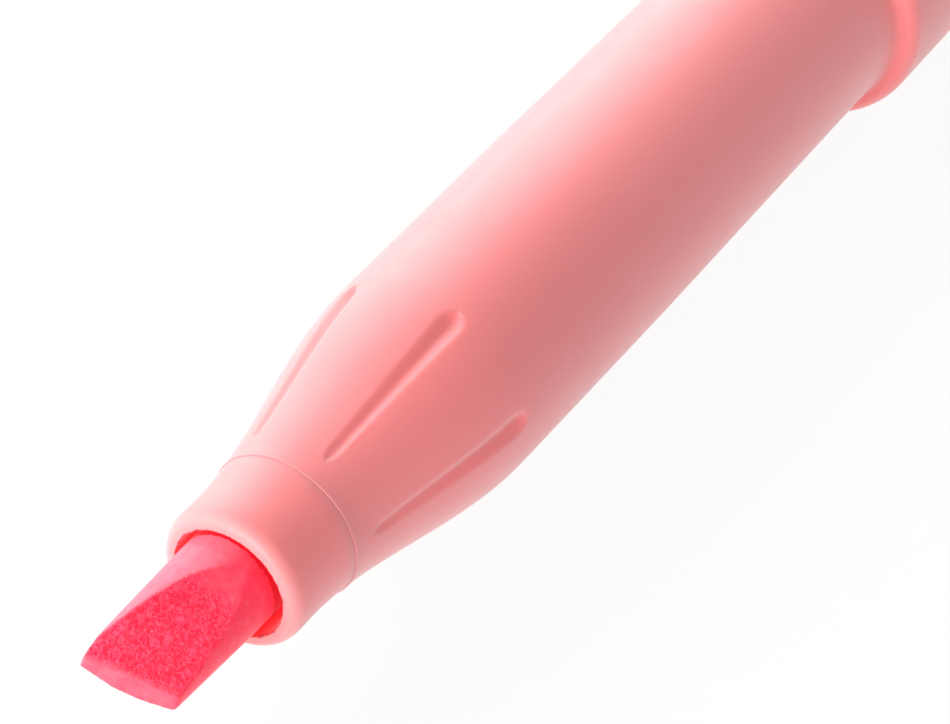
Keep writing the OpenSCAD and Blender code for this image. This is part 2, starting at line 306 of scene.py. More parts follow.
def turn(name, outline, steps=ROUND_STEPS):
    """A turned piece: an outline spun once round the pen's axis."""
    piece = draw(name, outline)
    bpy.ops.mesh.spin(steps=steps, angle=math.tau, center=(0, 0, 0), axis=(0, 0, 1))
    tidy_mesh()
    bpy.ops.object.mode_set(mode="OBJECT")
    return piece


def ring(points):
    """Closes an outline on itself, for a piece with a bore."""
    return points + points[:1]


def rod(name, r, s0, s1, steps=ROUND_STEPS, at=(0, 0)):
    """A round rod from one station to the next."""
    bpy.ops.object.select_all(action="DESELECT")
    bpy.ops.mesh.primitive_cylinder_add(
        vertices=steps, radius=r, depth=s1 - s0, location=(at[0], at[1], (s0 + s1) / 2))
    bpy.ops.object.transform_apply(location=True)
    piece = bpy.context.object
    piece.name = piece.data.name = name
    return piece


def select_where(piece, kind, test):
    """In edit mode, selects the vertices, edges or faces that pass a test."""
    bpy.ops.mesh.select_mode(type=kind)
    bpy.ops.mesh.select_all(action="DESELECT")
    mesh = bmesh.from_edit_mesh(piece.data)
    mesh.normal_update()
    for part in {"VERT": mesh.verts, "EDGE": mesh.edges, "FACE": mesh.faces}[kind]:
        if test(part):
            part.select_set(True)
    mesh.select_flush_mode()
    bmesh.update_edit_mesh(piece.data)


def only(piece):
    """Makes a piece the one selected object."""
    bpy.ops.object.select_all(action="DESELECT")
    piece.select_set(True)
    bpy.context.view_layer.objects.active = piece


def modify(piece, kind, **settings):
    """Adds a modifier and applies it."""
    only(piece)
    modifier = piece.modifiers.new(kind.lower(), kind)
    for name, value in settings.items():
        setattr(modifier, name, value)
    bpy.ops.object.modifier_apply(modifier=modifier.name)


def combine(piece, tool, operation):
    """Joins a tool piece to a piece, cuts it out or keeps what is common, and removes the tool."""
    modify(piece, "BOOLEAN", object=tool, operation=operation, solver="EXACT")
    bpy.data.objects.remove(tool)


def weigh(piece, name, weight):
    """A vertex group with a weight for each vertex, worked out by a function."""
    group = piece.vertex_groups.new(name=name)
    for vertex in piece.data.vertices:
        amount = weight(vertex)
        if amount > 0:
            group.add([vertex.index], min(amount, 1.0), "REPLACE")


def mark(piece, name, values):
    """Stores a number for each vertex, which a finish reads."""
    attribute = piece.data.attributes.new(name, "FLOAT", "POINT")
    attribute.data.foreach_set("value", values)


def lay_down(piece, node, body, material):
    """Lays a standing piece into the frame in place of its node, with its finish."""
    only(piece)
    piece.scale = (MM, MM, MM)
    piece.rotation_euler = (0, math.pi / 2, 0)
    piece.location = (mouth_x, axis_y, axis_z)
    bpy.ops.object.transform_apply(location=True, rotation=True, scale=True)
    bpy.ops.object.shade_smooth_by_angle(angle=SMOOTH_ANGLE)
    piece.data.materials.clear()
    piece.data.materials.append(material)
    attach(piece, body)
    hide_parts(node)


# Finishes
def start_finish(name):
    """A new material, its shader and the coordinates of the piece."""
    material = bpy.data.materials.new(name)
    material.use_nodes = True
    tree = material.node_tree
    place = tree.nodes.new("ShaderNodeTexCoord").outputs["Object"]
    return material, tree, tree.nodes["Principled BSDF"], place


def noise(tree, place, scale, detail=2.0, stretch=(1, 1, 1), twist=0.0):
    """Noise of so many cells to the metre."""
    mapping = tree.nodes.new("ShaderNodeMapping")
    mapping.inputs["Scale"].default_value = stretch
    tree.links.new(place, mapping.inputs["Vector"])
    texture = tree.nodes.new("ShaderNodeTexNoise")
    texture.inputs["Scale"].default_value = scale
    texture.inputs["Detail"].default_value = detail
    texture.inputs["Distortion"].default_value = twist
    tree.links.new(mapping.outputs["Vector"], texture.inputs["Vector"])
    return texture.outputs["Fac"]


def spread(tree, value, low, high, start=0.3, end=0.7):
    """Spreads a stretch of a value, at first the middle of a noise, over a range of numbers."""
    node = tree.nodes.new("ShaderNodeMapRange")
    node.inputs["From Min"].default_value = start
    node.inputs["From Max"].default_value = end
    node.inputs["To Min"].default_value = low
    node.inputs["To Max"].default_value = high
    tree.links.new(value, node.inputs["Value"])
    return node.outputs["Result"]


def stored(tree, name):
    """A number that the mesh of the piece holds for each vertex."""
    node = tree.nodes.new("ShaderNodeAttribute")
    node.attribute_name = name
    return node.outputs["Fac"]


def work_out(tree, operation, first, second):
    """Adds or multiplies two numbers, or takes the larger."""
    node = tree.nodes.new("ShaderNodeMath")
    node.operation = operation
    tree.links.new(first, node.inputs[0])
    tree.links.new(second, node.inputs[1])
    return node.outputs["Value"]


def frayed(tree, place, name, scale, amount):
    """A stored number made uneven by noise, so that its edge is ragged."""
    uneven = spread(tree, noise(tree, place, scale, detail=1.0), -amount, amount)
    return work_out(tree, "ADD", stored(tree, name), uneven)


def blend(tree, share, first, second):
    """Mixes two colours, each a colour or a socket, by a share."""
    node = tree.nodes.new("ShaderNodeMix")
    node.data_type = "RGBA"
    tree.links.new(share, node.inputs["Factor"])
    for name, colour in (("A", first), ("B", second)):
        socket = next(s for s in node.inputs if s.name == name and s.type == "RGBA")
        if isinstance(colour, tuple):
            socket.default_value = (*colour, 1)
        else:
            tree.links.new(colour, socket)
    return next(s for s in node.outputs if s.type == "RGBA")


def bump(tree, shader, layers):
    """Stacks bump layers of height, strength and depth in millimetres on a shader."""
    normal = None
    for height, strength, depth in layers:
        node = tree.nodes.new("ShaderNodeBump")
        node.inputs["Strength"].default_value = strength
        node.inputs["Distance"].default_value = depth * MM
        tree.links.new(height, node.inputs["Height"])
        if normal is not None:
            tree.links.new(normal, node.inputs["Normal"])
        normal = node.outputs["Normal"]
    tree.links.new(normal, shader.inputs["Normal"])


def glow_inside(shader, weight, radius, depth):
    """Light that enters a piece and comes out again, to a depth in millimetres."""
    shader.inputs["Subsurface Weight"].default_value = weight
    shader.inputs["Subsurface Radius"].default_value = radius
    shader.inputs["Subsurface Scale"].default_value = depth * MM


def satin_plastic(name, pale, deep, edge):
    """Moulded pastel plastic with a soft sheen, with a painted highlight that makes the lip paler,
    stained where ink has run.
    """
    material, tree, shader, place = start_finish(name)
    inked = frayed(tree, place, "inked", scale=4500, amount=0.3)
    stain = spread(tree, inked, 0.0, 1.0, start=0.4, end=0.5)
    fresh = spread(tree, inked, 0.0, 1.0, start=0.55, end=1.0)
    clouds = spread(tree, noise(tree, place, scale=90), 0.0, 1.0)
    # Painted highlight: the colour turns to the paler edge colour towards the front of the lip
    plastic = blend(tree, stored(tree, "painted_lip_highlight"), blend(tree, clouds, pale, deep), edge)
    ink = blend(tree, fresh, DRIED_INK_AND_SHADE, FRESH_INK)
    tree.links.new(blend(tree, stain, plastic, ink), shader.inputs["Base Color"])
    # Painted glow: the stained bore gives off red light of its own
    ink_painted_glow = work_out(tree, "MULTIPLY", stain, spread(tree, fresh, 0.0, INK_PAINTED_GLOW, start=0, end=1))
    tree.links.new(ink_painted_glow, shader.inputs["Emission Strength"])
    shader.inputs["Emission Color"].default_value = (1, 0.004, 0.02, 1)
    rough = spread(tree, noise(tree, place, scale=700), 0.36, 0.44)
    tree.links.new(rough, shader.inputs["Roughness"])
    waves = noise(tree, place, scale=420)
    grain = noise(tree, place, scale=5200, detail=3.0)
    bump(tree, shader, [(waves, 0.15, 0.02), (grain, 0.12, 0.01)])
    glow_inside(shader, weight=0.5, radius=(1.0, 0.25, 0.22), depth=1.2)
    shader.inputs["Sheen Weight"].default_value = 0.42
    shader.inputs["Sheen Roughness"].default_value = 0.5
    return material


def nib_fibre():
    """Bonded fibre wet with ink: smooth on the rod, torn into flecks where it is ground, painted
    paler on its lit flank and darker at its root in the mouth.
    """
    material, tree, shader, place = start_finish("nib_fibre")
    torn = frayed(tree, place, "torn", scale=2500, amount=0.2)
    fleck = spread(tree, noise(tree, place, scale=5000, twist=1.2), 0.0, 1.0, start=0.4, end=0.62)
    painted_pale = frayed(tree, place, "painted_pale", scale=1800, amount=0.25)
    painted_gap_shade = frayed(tree, place, "painted_gap_shade", scale=4500, amount=0.3)
    gap_shade = spread(tree, painted_gap_shade, 0.0, 1.0, start=0.35, end=0.75)
    clouds = noise(tree, place, scale=500)
    wet = blend(tree, clouds, (0.95, 0.055, 0.115), (0.93, 0.03, 0.08))
    # Painted highlight: paler along the lit long flank and on the end
    rod_colour = blend(tree, painted_pale, wet, (0.97, 0.16, 0.225))
    # Painted shade: darker where the nib goes into the mouth
    rod_colour = blend(tree, gap_shade, rod_colour, DRIED_INK_AND_SHADE)
    torn_colour = blend(tree, fleck, (0.82, 0.016, 0.055), (0.95, 0.085, 0.17))
    colour = blend(tree, torn, rod_colour, torn_colour)
    tree.links.new(colour, shader.inputs["Base Color"])
    rough = spread(tree, torn, 0.45, 0.75, start=0, end=1)
    tree.links.new(rough, shader.inputs["Roughness"])
    strands = noise(tree, place, scale=2600, stretch=(0.12, 1, 1))
    relief = work_out(tree, "MULTIPLY", fleck, torn)
    bump(tree, shader, [(strands, 0.15, 0.02), (relief, 0.6, 0.05)])
    shader.inputs["Specular IOR Level"].default_value = 0.2
    # Painted glow: the nib gives off red light of its own, which lifts its shaded side
    shader.inputs["Emission Color"].default_value = (1, 0.02, 0.05, 1)
    shader.inputs["Emission Strength"].default_value = NIB_PAINTED_GLOW
    shader.inputs["Sheen Weight"].default_value = 0.15
    shader.inputs["Sheen Roughness"].default_value = 0.4
    glow_inside(shader, weight=0.2, radius=(1.0, 0.12, 0.2), depth=0.4)
    return material


def rubber():
    """Smooth pale elastomer."""
    material, tree, shader, place = start_finish("eraser_rubber")
    clouds = spread(tree, noise(tree, place, scale=160, detail=3.0), 0.0, 1.0)
    colour = blend(tree, clouds, (0.78, 0.4, 0.39), (0.72, 0.35, 0.345))
    tree.links.new(colour, shader.inputs["Base Color"])
    rough = spread(tree, noise(tree, place, scale=900), 0.5, 0.62)
    tree.links.new(rough, shader.inputs["Roughness"])
    bump(tree, shader, [(noise(tree, place, scale=3000, detail=3.0), 0.2, 0.02)])
    glow_inside(shader, weight=0.5, radius=(1.0, 0.7, 0.65), depth=1.6)
    return material


def milky_plastic():
    """Natural plastic that lets some light through."""
    material, tree, shader, place = start_finish("seal_plastic")
    clouds = spread(tree, noise(tree, place, scale=120), 0.0, 1.0)
    colour = blend(tree, clouds, (0.88, 0.8, 0.79), (0.84, 0.75, 0.74))
    tree.links.new(colour, shader.inputs["Base Color"])
    rough = spread(tree, noise(tree, place, scale=800), 0.35, 0.45)
    tree.links.new(rough, shader.inputs["Roughness"])
    bump(tree, shader, [(noise(tree, place, scale=2500), 0.1, 0.01)])
    glow_inside(shader, weight=0.6, radius=(1.0, 0.9, 0.88), depth=2.0)
    return material


def ink_fibre():
    """Long fibres soaked with ink."""
    material, tree, shader, place = start_finish("ink_fibre")
    strands = noise(tree, place, scale=1800, detail=3.0, stretch=(0.05, 1, 1))
    colour = blend(tree, spread(tree, strands, 0, 1), (0.86, 0.16, 0.26), (0.7, 0.06, 0.15))
    tree.links.new(colour, shader.inputs["Base Color"])
    tree.links.new(spread(tree, strands, 0.55, 0.8), shader.inputs["Roughness"])
    bump(tree, shader, [(strands, 0.5, 0.05)])
    return material


def clear_film():
    """Thin clear film, tinted by what it wraps."""
    material, tree, shader, place = start_finish("clear_film")
    clouds = spread(tree, noise(tree, place, scale=300), 0.0, 1.0)
    colour = blend(tree, clouds, (0.85, 0.75, 0.77), (0.82, 0.66, 0.7))
    tree.links.new(colour, shader.inputs["Base Color"])
    rough = spread(tree, noise(tree, place, scale=1200), 0.12, 0.24)
    tree.links.new(rough, shader.inputs["Roughness"])
    folds = noise(tree, place, scale=900, detail=1.0, stretch=(0.2, 1, 1))
    bump(tree, shader, [(folds, 0.2, 0.03)])
    shader.inputs["Transmission Weight"].default_value = 0.6
    return material


# Pieces of the pen
def flute_weight(vertex):
    """Share of the full depth to which a flute sinks at a vertex of the grip."""
    s = vertex.co.z
    r = math.hypot(vertex.co.x, vertex.co.y)
    along = (s - FLUTE_FRONT_S) / (FLUTE_REAR_S - FLUTE_FRONT_S)
    if not 0 < along < 1 or r < flare_r(s) - WALL / 2:
        return 0
    pitch = math.tau / FLUTE_COUNT
    angle = math.atan2(vertex.co.y, vertex.co.x) - math.pi - FLUTE_TURN
    aside = abs((angle + pitch / 2) % pitch - pitch / 2) * r
    closing = max(0.0, s - FLUTE_REAR_S + FLUTE_END) / FLUTE_END
    opening = max(0.0, FLUTE_FRONT_S + FLUTE_NOSE - s) / FLUTE_NOSE
    end = math.sqrt(1 - max(closing, opening) ** 2)
    half = (FLUTE_FRONT_HALF + (FLUTE_REAR_HALF - FLUTE_FRONT_HALF) * along) * end
    if aside >= half:
        return 0
    across = 0.5 + 0.5 * math.cos(math.pi * aside / half)
    front = FLUTE_FRONT_DEPTH / FLUTE_DEPTH
    return across * (front + (1 - front) * along ** FLUTE_SINK) * end


def make_barrel(material):
    """Grip with its finger flutes, slim section, shoulder and wide barrel, as one moulding."""
    flare_end_s = FLARE_S + FLARE_LEN
    section_bore = SECTION_R - WALL
    barrel_bore = barrel_r - WALL
    spigot_bore = SPIGOT_R + PRESS_GAP
    foot_r = SECTION_R + (barrel_r - SECTION_R) * SHOULDER_FOOT_SHARE
    shoulder_end_s = SHOULDER_S + SHOULDER_RUN
    outline = rounded(
        [(spigot_bore, joint_s), (flare_r(joint_s) + JOINT_STEP, joint_s, JOINT_STEP)]
        + down_the_flare(joint_s + JOINT_FADE, flare_end_s)
        + [(SECTION_R, flare_end_s + DRAFT_LEN)]
        + quarter(SECTION_R, SHOULDER_S - SHOULDER_FOOT, foot_r, SHOULDER_S, outwards=False)
        + quarter(foot_r, SHOULDER_S, barrel_r, shoulder_end_s, outwards=True)[1:]
        + [(barrel_r, barrel_end_s, BARREL_ROUND), (barrel_bore, barrel_end_s)]
        + [(barrel_bore, shoulder_end_s + SHOULDER_WALL), (section_bore, SHOULDER_S + SHOULDER_WALL)]
        + [(section_bore, BORE_OPEN_S), (spigot_bore, BORE_STEP_S)])
    piece = turn("barrel_moulding", ring(outline), GRIP_STEPS)
    weigh(piece, "flutes", flute_weight)
    modify(piece, "DISPLACE", vertex_group="flutes", strength=-FLUTE_DEPTH, mid_level=0.0)
    lay_down(piece, "barrel", "pen", material)


def make_nozzle(material):
    """Short front ring with a rounded lip, on a spigot inside the barrel."""
    lip_r = flare_r(LIP_LEN)
    rear_s = joint_s - JOINT_GAP
    outline = rounded(
        [(MOUTH_R, spigot_end_s), (MOUTH_R, 0, MOUTH_ROUND)]
        + quarter(lip_r - LIP_R, 0, lip_r, LIP_LEN, outwards=True)
        + down_the_flare(FLARE_S, rear_s)
        + [(SPIGOT_R, rear_s), (SPIGOT_R, spigot_end_s, SPIGOT_ROUND)])
    piece = turn("nozzle_ring", ring(outline), GRIP_STEPS)
    from_bore = [math.hypot(v.co.x, v.co.y) - MOUTH_R for v in piece.data.vertices]
    mark(piece, "inked", [max(0.0, 1 - r / INK_CREEP) for r in from_bore])
    # Painted highlight on the lip, fading out rearwards over the lip's length
    mark(piece, "painted_lip_highlight", [1 - smooth(v.co.z / LIP_LEN) for v in piece.data.vertices])
    lay_down(piece, "nozzle", "pen", material)


NIB_ACROSS = Vector((math.sin(NIB_TURN), -math.cos(NIB_TURN), 0))
NIB_OVER = Vector((-math.cos(NIB_TURN), -math.sin(NIB_TURN), 0))
NIB_END_NORMAL = (NIB_ACROSS * NIB_SLANT - Vector((0, 0, 1))).normalized()


def ground_normal(side):
    """Outward direction of the upper or lower ground face of the chisel."""
    back = Vector((0, 0, 1)) - NIB_ACROSS * NIB_SLANT
    return (NIB_OVER * side - back * NIB_SLOPE).normalized()


def ground_place(side):
    """The middle of the chisel's edge on one ground face."""
    return Vector((0, 0, -NIB_REACH)) + NIB_OVER * side * NIB_LAND / 2


def grind(piece):
    """Grinds the upper face of the chisel with a long stone that is a little twisted."""
    wide, long, ahead = 8, 18, 4
    bpy.ops.object.select_all(action="DESELECT")
    bpy.ops.mesh.primitive_cube_add(size=1)
    stone = bpy.context.object
    bpy.ops.object.mode_set(mode="EDIT")
    bpy.ops.mesh.select_all(action="SELECT")
    bpy.ops.mesh.subdivide(number_cuts=STONE_CUTS)
    bpy.ops.transform.resize(value=(wide / 2, wide, long))
    bpy.ops.transform.translate(value=(wide / 4, 0, long / 2 - ahead))
    bpy.ops.object.mode_set(mode="OBJECT")
    modify(stone, "SIMPLE_DEFORM", deform_method="TWIST", deform_axis="Z", angle=NIB_TWIST * long)
    rise = Matrix.Rotation(math.atan(NIB_SLOPE / math.cos(math.atan(NIB_SLANT))), 4, "Y")
    slant = Matrix.Rotation(math.atan(NIB_SLANT), 4, "X")
    aim = Matrix((NIB_OVER, NIB_ACROSS, (0, 0, 1))).transposed().to_4x4()
    stone.matrix_world = Matrix.Translation(ground_place(1)) @ aim @ slant @ rise
    bpy.ops.object.transform_apply(location=True, rotation=True)
    combine(piece, stone, "DIFFERENCE")


def cut(place, normal):
    """Saws all in front of a plane off the piece in edit mode."""
    bpy.ops.mesh.select_all(action="SELECT")
    bpy.ops.mesh.bisect(plane_co=place, plane_no=normal, use_fill=True, clear_outer=True)


def score(s):
    """Adds a ring of edges at a station of the piece in edit mode."""
    bpy.ops.mesh.select_all(action="SELECT")
    bpy.ops.mesh.bisect(plane_co=(0, 0, s), plane_no=(0, 0, 1))


def facing_ground(part):
    """How squarely a face or a vertex faces like one of the ground faces."""
    return max(part.normal.dot(ground_normal(side)) for side in (1, -1))


def ground_weight(vertex):
    """How far a vertex lies on one of the ground faces."""
    squarely, blend_in = 0.92, 0.06
    facing = (facing_ground(vertex) - squarely) / blend_in
    from_end = (vertex.co - ground_place(0)).dot(-NIB_END_NORMAL) / NIB_FADE
    from_mouth = (NIB_SMOOTH_S - vertex.co.z) / NIB_SMOOTH_LEN
    return smooth(facing) * smooth(from_end) * smooth(from_mouth)


def painted_pale_weight(vertex):
    """Painted highlight: how much paler the nib is at a vertex, along its lit long flank and on its
    end.
    """
    halfway = 0.5
    flank = (NIB_PALE_FROM - vertex.normal.dot(NIB_ACROSS)) / NIB_PALE_BLEND
    on_end = (vertex.normal.dot(NIB_END_NORMAL) - halfway) / halfway
    return max(smooth(flank), NIB_PALE_END * smooth(on_end))


def at_corner(edge):
    """Whether an edge is a corner between the slanted end and a side of the nib."""
    on_end, off_end, sideways = 0.999, 0.9, 0.6
    turns = [face.normal.dot(NIB_END_NORMAL) for face in edge.link_faces]
    flat = [abs(face.normal.dot(NIB_ACROSS)) < sideways for face in edge.link_faces]
    return max(turns) > on_end and min(turns) < off_end and not all(flat)


def turn_nib():
    """Fibre rod, slimmer towards its tip and tapered at its rear end."""
    piece = rod("nib_chisel", NIB_R, -NIB_REACH - NIB_TIP_R, nib_end_s)
    bpy.ops.object.mode_set(mode="EDIT")
    for s in (-NIB_REACH, NIB_TAPER_S, nib_end_s - NIB_TAIL_LEN):
        score(s)
    for test, r in ((lambda v: v.co.z < MERGE - NIB_REACH, NIB_TIP_R),
                    (lambda v: v.co.z > nib_end_s - MERGE, NIB_TAIL_R)):
        select_where(piece, "VERT", test)
        share = r / NIB_R
        bpy.ops.transform.resize(value=(share, share, 1), center_override=(0, 0, 0))
    bpy.ops.object.mode_set(mode="OBJECT")
    return piece


def saw_chisel(piece):
    """Saws the slanted end, the worn edges and the lower faces, and rounds the end's corners."""
    only(piece)
    bpy.ops.object.mode_set(mode="EDIT")
    cut((0, 0, -NIB_REACH), NIB_END_NORMAL)
    forward, aside = NIB_ROLL
    cut(ground_place(1), ground_normal(1) + NIB_END_NORMAL * forward - NIB_ACROSS * aside)
    depth, forward = NIB_WORN
    side = NIB_ACROSS + Vector((0, 0, NIB_SLANT))
    cut(ground_place(0) - side * (NIB_TIP_R - depth), NIB_END_NORMAL * forward - NIB_ACROSS)
    for below, tilt in NIB_UNDER:
        cut(Vector((0, 0, -NIB_REACH)) - NIB_OVER * below,
            ground_normal(-1) - NIB_ACROSS * tilt * math.cos(math.atan(NIB_SLOPE)))
    select_where(piece, "EDGE", at_corner)
    bpy.ops.mesh.bevel(offset=NIB_CORNER, segments=4)
    tidy_mesh()
    bpy.ops.object.mode_set(mode="OBJECT")


def refine(piece):
    """Gives the nib an even mesh, coarse inside the pen and finest on the ground faces."""
    squarely = 0.95
    modify(piece, "REMESH", mode="VOXEL", voxel_size=NIB_VOXEL)
    modify(piece, "SMOOTH", factor=0.5, iterations=NIB_SMOOTH_PASSES)
    bpy.ops.object.mode_set(mode="EDIT")
    select_where(piece, "FACE", lambda face: face.calc_center_median().z > NIB_FINE_S)
    bpy.ops.mesh.decimate(ratio=NIB_COARSE_SHARE)
    select_where(piece, "FACE", lambda face: facing_ground(face) > squarely)
    bpy.ops.mesh.subdivide(number_cuts=1, smoothness=0)
    bpy.ops.object.mode_set(mode="OBJECT")


def tear(piece):
    """Tears the ground faces into flecks, coarse and fine."""
    weigh(piece, "ground", ground_weight)
    only(piece)
    bpy.ops.object.mode_set(mode="EDIT")
    bpy.ops.mesh.select_all(action="SELECT")
    bpy.ops.object.vertex_group_smooth(factor=0.5, repeat=GROUND_SOFT_PASSES)
    bpy.ops.object.mode_set(mode="OBJECT")
    for name, size, depth in NIB_TEARS:
        texture = bpy.data.textures.new(name, "CLOUDS")
        texture.noise_scale = size
        modify(piece, "DISPLACE", texture=texture, vertex_group="ground", strength=depth,
               mid_level=NIB_TEAR_LEVEL)


def make_nib(material):
    """Fibre rod with a slanted chisel, torn on its two ground faces, leaning in the mouth."""
    piece = turn_nib()
    grind(piece)
    saw_chisel(piece)
    refine(piece)
    tear(piece)
    mark(piece, "torn", [sum(g.weight for g in v.groups) for v in piece.data.vertices])
    # Painted highlight on the lit flank and the end
    mark(piece, "painted_pale", [painted_pale_weight(v) for v in piece.data.vertices])
    # Painted shade on the nib where it goes into the mouth
    from_shade = [(v.co.z - NIB_SHADE_S) / NIB_SHADE_LEN for v in piece.data.vertices]
    mark(piece, "painted_gap_shade", [smooth(t) for t in from_shade])
    only(piece)
    seat = Matrix.Translation((0, 0, NIB_SEAT_S))
    lean = Matrix.Rotation(NIB_LEAN, 4, NIB_LEAN_TO.cross(Vector((0, 0, 1))))
    piece.matrix_world = seat @ lean @ seat.inverted()
    bpy.ops.object.transform_apply(location=True, rotation=True)
    lay_down(piece, "nib", "pen", material)


def make_tail_plug(material):
    """Collar, taper and posting stretch, with the socket for the eraser's stem."""
    collar_s = barrel_end_s + PRESS_GAP
    collar_end_s = barrel_end_s + COLLAR_LEN
    post_s = collar_end_s + TAIL_TAPER
    post_end_s = tail_end_s - TAIL_ROUND
    plug_r = barrel_r - WALL - PRESS_GAP
    plug_bore = plug_r - WALL
    socket_s = stem_front_s - PRESS_GAP
    outline = rounded(
        [(0, socket_s - WALL), (plug_bore, socket_s - WALL)]
        + [(plug_bore, plug_front_s), (plug_r, plug_front_s, PLUG_ROUND), (plug_r, collar_s)]
        + [(COLLAR_R, collar_s, COLLAR_FRONT_ROUND), (COLLAR_R, collar_end_s, COLLAR_ROUND)]
        + [(TAIL_R, post_s, POST_ROUND)]
        + quarter(TAIL_R, post_end_s, TAIL_R - TAIL_EDGE, tail_end_s, outwards=False)
        + [(STEM_R + PRESS_GAP, tail_end_s), (STEM_R + PRESS_GAP, socket_s), (0, socket_s)])
    piece = turn("tail_plug_moulding", outline)
    lay_down(piece, "tail_plug", "pen", material)


def make_eraser(material):
    """Dome of hard rubber on a stem."""
    eraser_r = TAIL_R - TAIL_EDGE - ERASER_LEDGE
    seat_s = tail_end_s + PRESS_GAP
    outline = rounded(
        [(0, stem_front_s), (STEM_R, stem_front_s, STEM_ROUND), (STEM_R, seat_s)]
        + [(eraser_r, seat_s, ERASER_ROUND)]
        + quarter(eraser_r, tail_end_s + ERASER_SIDE, 0, eraser_end_s, outwards=False,
                  steps=DOME_STEPS))
    piece = turn("eraser_dome", outline)
    lay_down(piece, "friction_eraser", "pen", material)


# The clip's place round the cap: its lower edge is on the floor
CLIP_OUT = barrel_r + CLIP_GAP + CLIP_T
clip_edge_out = CLIP_OUT - CLIP_CROWN + math.sqrt(CLIP_CROWN ** 2 - (CLIP_W / 2) ** 2)
clip_half_turn = math.atan2(CLIP_W / 2, clip_edge_out)
CLIP_TURN = math.acos(barrel_r / math.hypot(clip_edge_out, CLIP_W / 2)) + clip_half_turn


def make_clip():
    """Pocket clip standing in the plane of the drawing, with a bead under its free end."""
    head_s = cap_end_s - CAP_ROUND
    free_s = head_s - CLIP_LEN
    root_s = head_s - CLIP_ROOT
    into = (barrel_r + CAP_BORE) / 2
    under = barrel_r + CLIP_GAP
    bead = barrel_r + BEAD_GAP
    outline = rounded(
        [(into, root_s), (under, root_s - CLIP_GAP, CLIP_ROOT_ROUND)]
        + [(under, free_s + BEAD_LEN, BEAD_ROUND), (bead, free_s + BEAD_LEN / 2, BEAD_ROUND)]
        + [(under, free_s, CLIP_TIP_ROUND), (CLIP_OUT, free_s, CLIP_BACK_ROUND)]
        + [(CLIP_OUT, head_s, CLIP_BACK_ROUND), (into, head_s)])
    piece = draw("clip", ring(outline))
    bpy.ops.mesh.remove_doubles(threshold=MERGE)
    bpy.ops.mesh.edge_face_add()
    bpy.ops.transform.translate(value=(0, -CLIP_W / 2, 0))
    bpy.ops.mesh.extrude_region_move(TRANSFORM_OT_translate={"value": (0, CLIP_W, 0)})
    tidy_mesh()
    bpy.ops.object.mode_set(mode="OBJECT")
    crown_at = (CLIP_OUT - CLIP_CROWN, 0)
    crown = rod("crown", CLIP_CROWN, free_s - OVERCUT, head_s + OVERCUT, at=crown_at)
    combine(piece, crown, "INTERSECT")
    return piece


def pierce(piece, s0, s1):
    """Drills the air vents round the inner cap, from one station to the next."""
    vent_at = (SEAL_R + SEAL_WALL + CAP_BORE) / 2
    for i in range(VENT_COUNT):
        a = CLIP_TURN + math.pi + math.tau * i / VENT_COUNT
        place = (vent_at * math.cos(a), vent_at * math.sin(a))
        drill = rod("vent", VENT_R, s0 - OVERCUT, s1 + OVERCUT, VENT_STEPS, place)
        combine(piece, drill, "DIFFERENCE")


def make_cap(material):
    """Cap with its moulded clip and the air vents in its end."""
    floor_s = cap_end_s - CAP_END_T
    outline = rounded(
        quarter(barrel_r - CAP_ROUND, cap_end_s, barrel_r, cap_end_s - CAP_ROUND, outwards=False)
        + [(barrel_r, cap_s, CAP_LIP_ROUND), (CAP_BORE, cap_s, CAP_LIP_ROUND)]
        + [(CAP_BORE, floor_s, CAP_FLOOR_ROUND), (0, floor_s)])
    piece = turn("cap_with_clip", [Vector((0, cap_end_s))] + outline)
    clip = make_clip()
    only(clip)
    clip.rotation_euler = (0, 0, CLIP_TURN)
    bpy.ops.object.transform_apply(rotation=True)
    combine(piece, clip, "UNION")
    pierce(piece, floor_s, cap_end_s)
    lay_down(piece, "cap_shell", "cap", material)


def make_inner_cap(material):
    """Cup that closes round the nozzle's neck when the pen is capped."""
    floor_s = seal_end_s - SEAL_FLOOR
    flange_r = CAP_BORE - PRESS_GAP
    cup_r = SEAL_R + SEAL_WALL
    outline = rounded(
        [(0, floor_s), (SEAL_R, floor_s, SEAL_FLOOR_ROUND), (SEAL_R, seal_mouth_s, SEAL_LIP_ROUND)]
        + [(cup_r, seal_mouth_s, SEAL_RIM_ROUND), (cup_r, floor_s, SEAL_ROOT_ROUND)]
        + [(flange_r, floor_s, FLANGE_ROUND), (flange_r, seal_end_s, FLANGE_ROUND)]
        + [(0, seal_end_s)])
    piece = turn("seal_cup", outline)
    pierce(piece, floor_s, seal_end_s)
    lay_down(piece, "inner_cap", "cap", material)


# Studio
def see_white(tree):
    """One for rays from the camera, off a glossy surface or through a clear one."""
    rays = tree.nodes.new("ShaderNodeLightPath")
    total = rays.outputs["Is Camera Ray"]
    for name in ("Is Glossy Ray", "Is Transmission Ray"):
        total = work_out(tree, "MAXIMUM", total, rays.outputs[name])
    return total


def make_world(ambient):
    """Soft light from all round, on a white background."""
    world = bpy.data.worlds.new("studio")
    bpy.context.scene.world = world
    world.use_nodes = True
    tree = world.node_tree
    strength = spread(tree, see_white(tree), ambient, 1.0, start=0, end=1)
    tree.links.new(strength, tree.nodes["Background"].inputs["Strength"])
    tree.nodes["Background"].inputs["Color"].default_value = (1, 1, 1, 1)


